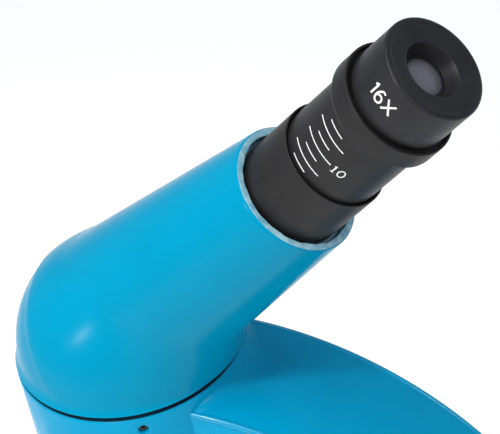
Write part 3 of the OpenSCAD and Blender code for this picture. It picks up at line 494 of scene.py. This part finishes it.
def strip(path, width, r):
    """Band of quads along a path of (s, turn in degrees) on a cylinder of radius r; width in mm."""
    verts, faces = [], []
    corners = [Vector((s, math.radians(t) * r)) for s, t in path]
    pts = [corners[0]]
    for a, b in zip(corners, corners[1:]):
        steps = max(1, math.ceil((b - a).length / LONGEST))
        pts.extend(a.lerp(b, k / steps) for k in range(1, steps + 1))
    for i, p in enumerate(pts):
        a, b = pts[max(i - 1, 0)], pts[min(i + 1, len(pts) - 1)]
        d = (b - a).normalized()
        side = Vector((-d.y, d.x)) * width / 2
        for q in (p + side, p - side):
            verts.append(on_tube(q.x, r + LIFT, math.degrees(q.y / r)))
    for i in range(len(pts) - 1):
        faces.append((2 * i, 2 * i + 1, 2 * i + 3, 2 * i + 2))
    return verts, faces


def marking(name, strokes, body, r):
    verts, faces = [], []
    for path, width in strokes:
        v, f = strip(path, width, r)
        faces.extend(tuple(k + len(verts) for k in q) for q in f)
        verts.extend(v)
    obj = piece(name, verts, faces, body, M["mark"])
    return obj


def between(s0, t0, s1, t1, n=14):
    return [(s0 + (s1 - s0) * k / n, t0 + (t1 - t0) * k / n) for k in range(n + 1)]


lines = [(between(s, 136, s, 159), LINE) for s in (112.2, 118, 124, 130)]
lines += [(between(s, 124, s, 171), LINE) for s in (115, 121, 127)]
marking("scale_lines", lines, "draw_tube", DRAW_R)


def glyph(strokes, s, turn, size, r, slant=0.0):
    """Strokes in a unit cell, drawn with their top towards larger s and reading towards larger turn."""
    out = []
    for path, width in strokes:
        pts = []
        for x, y in path:
            pts.append((s + y * size, turn + math.degrees((x + slant * y) * size / r)))
        out.append((pts, width))
    return out


def smooth_path(points, n=8):
    """Catmull-Rom curve through the points."""
    out = []
    for i in range(len(points) - 1):
        p = [Vector(points[max(0, min(len(points) - 1, i + k))]) for k in (-1, 0, 1, 2)]
        for k in range(n):
            t = k / n
            q = 0.5 * ((2 * p[1]) + (p[2] - p[0]) * t + (2 * p[0] - 5 * p[1] + 4 * p[2] - p[3]) * t * t
                       + (3 * p[1] - p[0] - 3 * p[2] + p[3]) * t ** 3)
            out.append((q.x, q.y))
    out.append(tuple(points[-1]))
    return out


def oval(cx, cy, rx, ry, n=28):
    return [(cx + rx * math.cos(2 * math.pi * k / n), cy + ry * math.sin(2 * math.pi * k / n)) for k in range(n + 1)]


one = [([(0.02, 0.78), (0.2, 1.0), (0.2, 0.5), (0.2, 0.0)], 0.36), ([(0.02, 0.0), (0.38, 0.0)], 0.28)]
zero = [(oval(0.36, 0.5, 0.34, 0.5), 0.36)]
NUMBER = {"s": 119.6, "size": 2.6, "r": DRAW_R, "slant": 0.08}
marking("scale_number", glyph(one, turn=174.5, **NUMBER) + glyph(zero, turn=181.5, **NUMBER), "draw_tube", DRAW_R)

big_one = [([(0.0, 0.76), (0.2, 1.0), (0.2, 0.0)], STROKE)]
six = [(smooth_path([(0.52, 0.93), (0.32, 1.0), (0.1, 0.72), (0.03, 0.34), (0.14, 0.06), (0.32, 0.0), (0.52, 0.08),
                     (0.6, 0.3), (0.5, 0.52), (0.32, 0.58), (0.12, 0.48), (0.04, 0.34)]), STROKE)]
cross = [([(0.0, 0.0), (0.72, 1.0)], STROKE), ([(0.0, 1.0), (0.72, 0.0)], STROKE)]
POWER = {"s": 147.2, "size": 4.0, "r": CAP_R}
power = glyph(big_one, turn=140.0, **POWER) + glyph(six, turn=147.5, **POWER) + glyph(cross, turn=160.5, **POWER)
marking("power_number", power, "eyepiece", CAP_R)

# ---- carried-over CAD nodes: material, and a small bevel on hard edges ----

# the arm takes the painted-lighter copy of the blue enamel, painted light; the base keeps the plain paint
LOOK = {
    "base_shell": ("paint", 1.0), "arm": ("gloss_painted_lighter", 1.1), "mount_ring": ("alloy", 0.2),
    "bottom_plate": ("black_plastic", 0.3), "battery_door": ("black_plastic", 0.3),
    "illuminator_housing": ("black_plastic", 0.4), "power_rocker": ("black_plastic", 0.5),
    "dimmer_wheel": ("black_plastic", 0.2), "focus_knob_left": ("black_plastic", 0.4),
    "focus_knob_right": ("black_plastic", 0.4), "condenser_cell": ("black_plastic", 0.4),
    "upper_lamp_housing": ("black_plastic", 0.4), "dc_jack": ("black_plastic", 0.2),
    "rubber_feet": ("rubber", 0.4), "batteries": ("battery_can", 0.4), "led_board": ("board", 0.1),
    "lower_led": ("lamp", 0.2), "upper_lamp_led": ("lamp", 0.2), "illuminator_lens": ("frosted", 0.2),
    "condenser_lens": ("glass", 0.1), "objective_lenses": ("glass", 0.1), "prism": ("glass", 0.1),
    "barlow_lens": ("glass", 0.0), "field_lens": ("glass", 0.0), "wiring": ("wire", 0.0),
    "shaft_bushes": ("brass", 0.2), "stage_slide": ("alloy", 0.5), "eyepiece_barrel": ("alloy", 0.2),
    "barlow_cell": ("black_metal", 0.2), "nose_mount": ("black_metal", 0.4), "stage_plate": ("black_metal", 0.7),
    "guide_rails": ("steel", 0.2), "diaphragm_disc": ("black_metal", 0.2), "turret": ("chrome", 0.4),
    "objective_4x": ("chrome", 0.3), "objective_10x": ("chrome", 0.3), "objective_40x": ("chrome", 0.3),
    "objective_40x_nose": ("chrome", 0.2), "head_set_screw": ("screw", 0.1),
}
for name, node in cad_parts.items():
    look, width = LOOK.get(name, ("steel", 0.15))
    node.data.materials.clear()
    node.data.materials.append(M[look])
    for p in node.data.polygons:
        p.use_smooth = True
    if width:
        weld = node.modifiers.new("weld", "WELD")
        weld.merge_threshold = MERGE
        bevel = node.modifiers.new("edges", "BEVEL")
        bevel.width = width * MM
        bevel.segments = 3
        bevel.limit_method = "ANGLE"
        bevel.angle_limit = math.radians(CAD_HARD)
        bevel.harden_normals = True
        bevel.use_clamp_overlap = True

# ---- floor, light, camera ----

FLOOR_HALF, FLOOR_GLOW = 6, 0.20                       # metres, emission that keeps the stage plain
SKY, SKY_POWER = (0.76, 0.87, 1.0, 1), 0.40

floor_mat, nodes, links, shader, coord = material("pale_floor")
links.new(ramp(nodes, links, noise(nodes, links, coord, 3.0), [(0.3, (0.83, 0.83, 0.82)), (0.7, (0.86, 0.86, 0.85))]),
          shader.inputs["Base Color"])
shader.inputs["Roughness"].default_value = 0.9
shader.inputs["Emission Color"].default_value = (1.0, 0.995, 0.985, 1)
shader.inputs["Emission Strength"].default_value = FLOOR_GLOW
floor_mesh = bpy.data.meshes.new("floor")
corners = [(x * FLOOR_HALF, y * FLOOR_HALF, 0) for x, y in ((-1, -1), (1, -1), (1, 1), (-1, 1))]
floor_mesh.from_pydata(corners, [], [(0, 1, 2, 3)])
floor = bpy.data.objects.new("floor", floor_mesh)
bpy.context.collection.objects.link(floor)
floor_mesh.materials.append(floor_mat)

scene = bpy.context.scene
world = bpy.data.worlds.new("studio")
scene.world = world
world.use_nodes = True
world.node_tree.nodes["Background"].inputs[0].default_value = SKY
world.node_tree.nodes["Background"].inputs[1].default_value = SKY_POWER
scene.view_settings.view_transform = "Standard"
scene.view_settings.look = "None"


def lamp(name, way, distance, size, power, colour):
    """Area lamp at a distance in m from AIM, turned towards it."""
    data = bpy.data.lights.new(name, "AREA")
    data.shape = "RECTANGLE"
    data.size, data.size_y = size
    data.energy = power
    data.color = colour
    obj = bpy.data.objects.new(name, data)
    bpy.context.collection.objects.link(obj)
    obj.location = place = AIM + Vector(way) * distance
    obj.rotation_euler = (AIM - place).to_track_quat("-Z", "Y").to_euler()


AIM = at(20, 0, 270)
lamp("key_left", (-0.55, -0.76, 0.34), 1.3, (0.13, 0.13), 5.0, (1, 1, 1))
lamp("edge", (-0.2, -0.533, 0.822), 1.3, (0.12, 0.12), 5.5, (1, 1, 1))
lamp("top", (-0.15, -0.20, 1.0), 1.2, (1.1, 1.1), 12.0, (1.0, 0.985, 0.955))
lamp("right", (0.85, -0.45, 0.6), 1.3, (0.7, 0.5), 4.0, (1, 1, 1))

CAMERA_PLACE = (327.9, -484.4, SEAM + 497.4)
SENSOR, LENS = 36.0, 187.2
RIGHT, DOWN, AHEAD = (0.9134, 0.36914, -0.17157), (0.11284, -0.63458, -0.76457), (-0.39111, 0.679, -0.62128)
cam_data = bpy.data.cameras.new("camera")
cam = bpy.data.objects.new("camera", cam_data)
bpy.context.collection.objects.link(cam)
scene.camera = cam
cam_data.sensor_width = SENSOR
cam_data.lens = LENS
place = at(*CAMERA_PLACE)
cam.matrix_world = Matrix((
    (RIGHT[0], -DOWN[0], -AHEAD[0], place.x),
    (RIGHT[1], -DOWN[1], -AHEAD[1], place.y),
    (RIGHT[2], -DOWN[2], -AHEAD[2], place.z),
    (0, 0, 0, 1)))
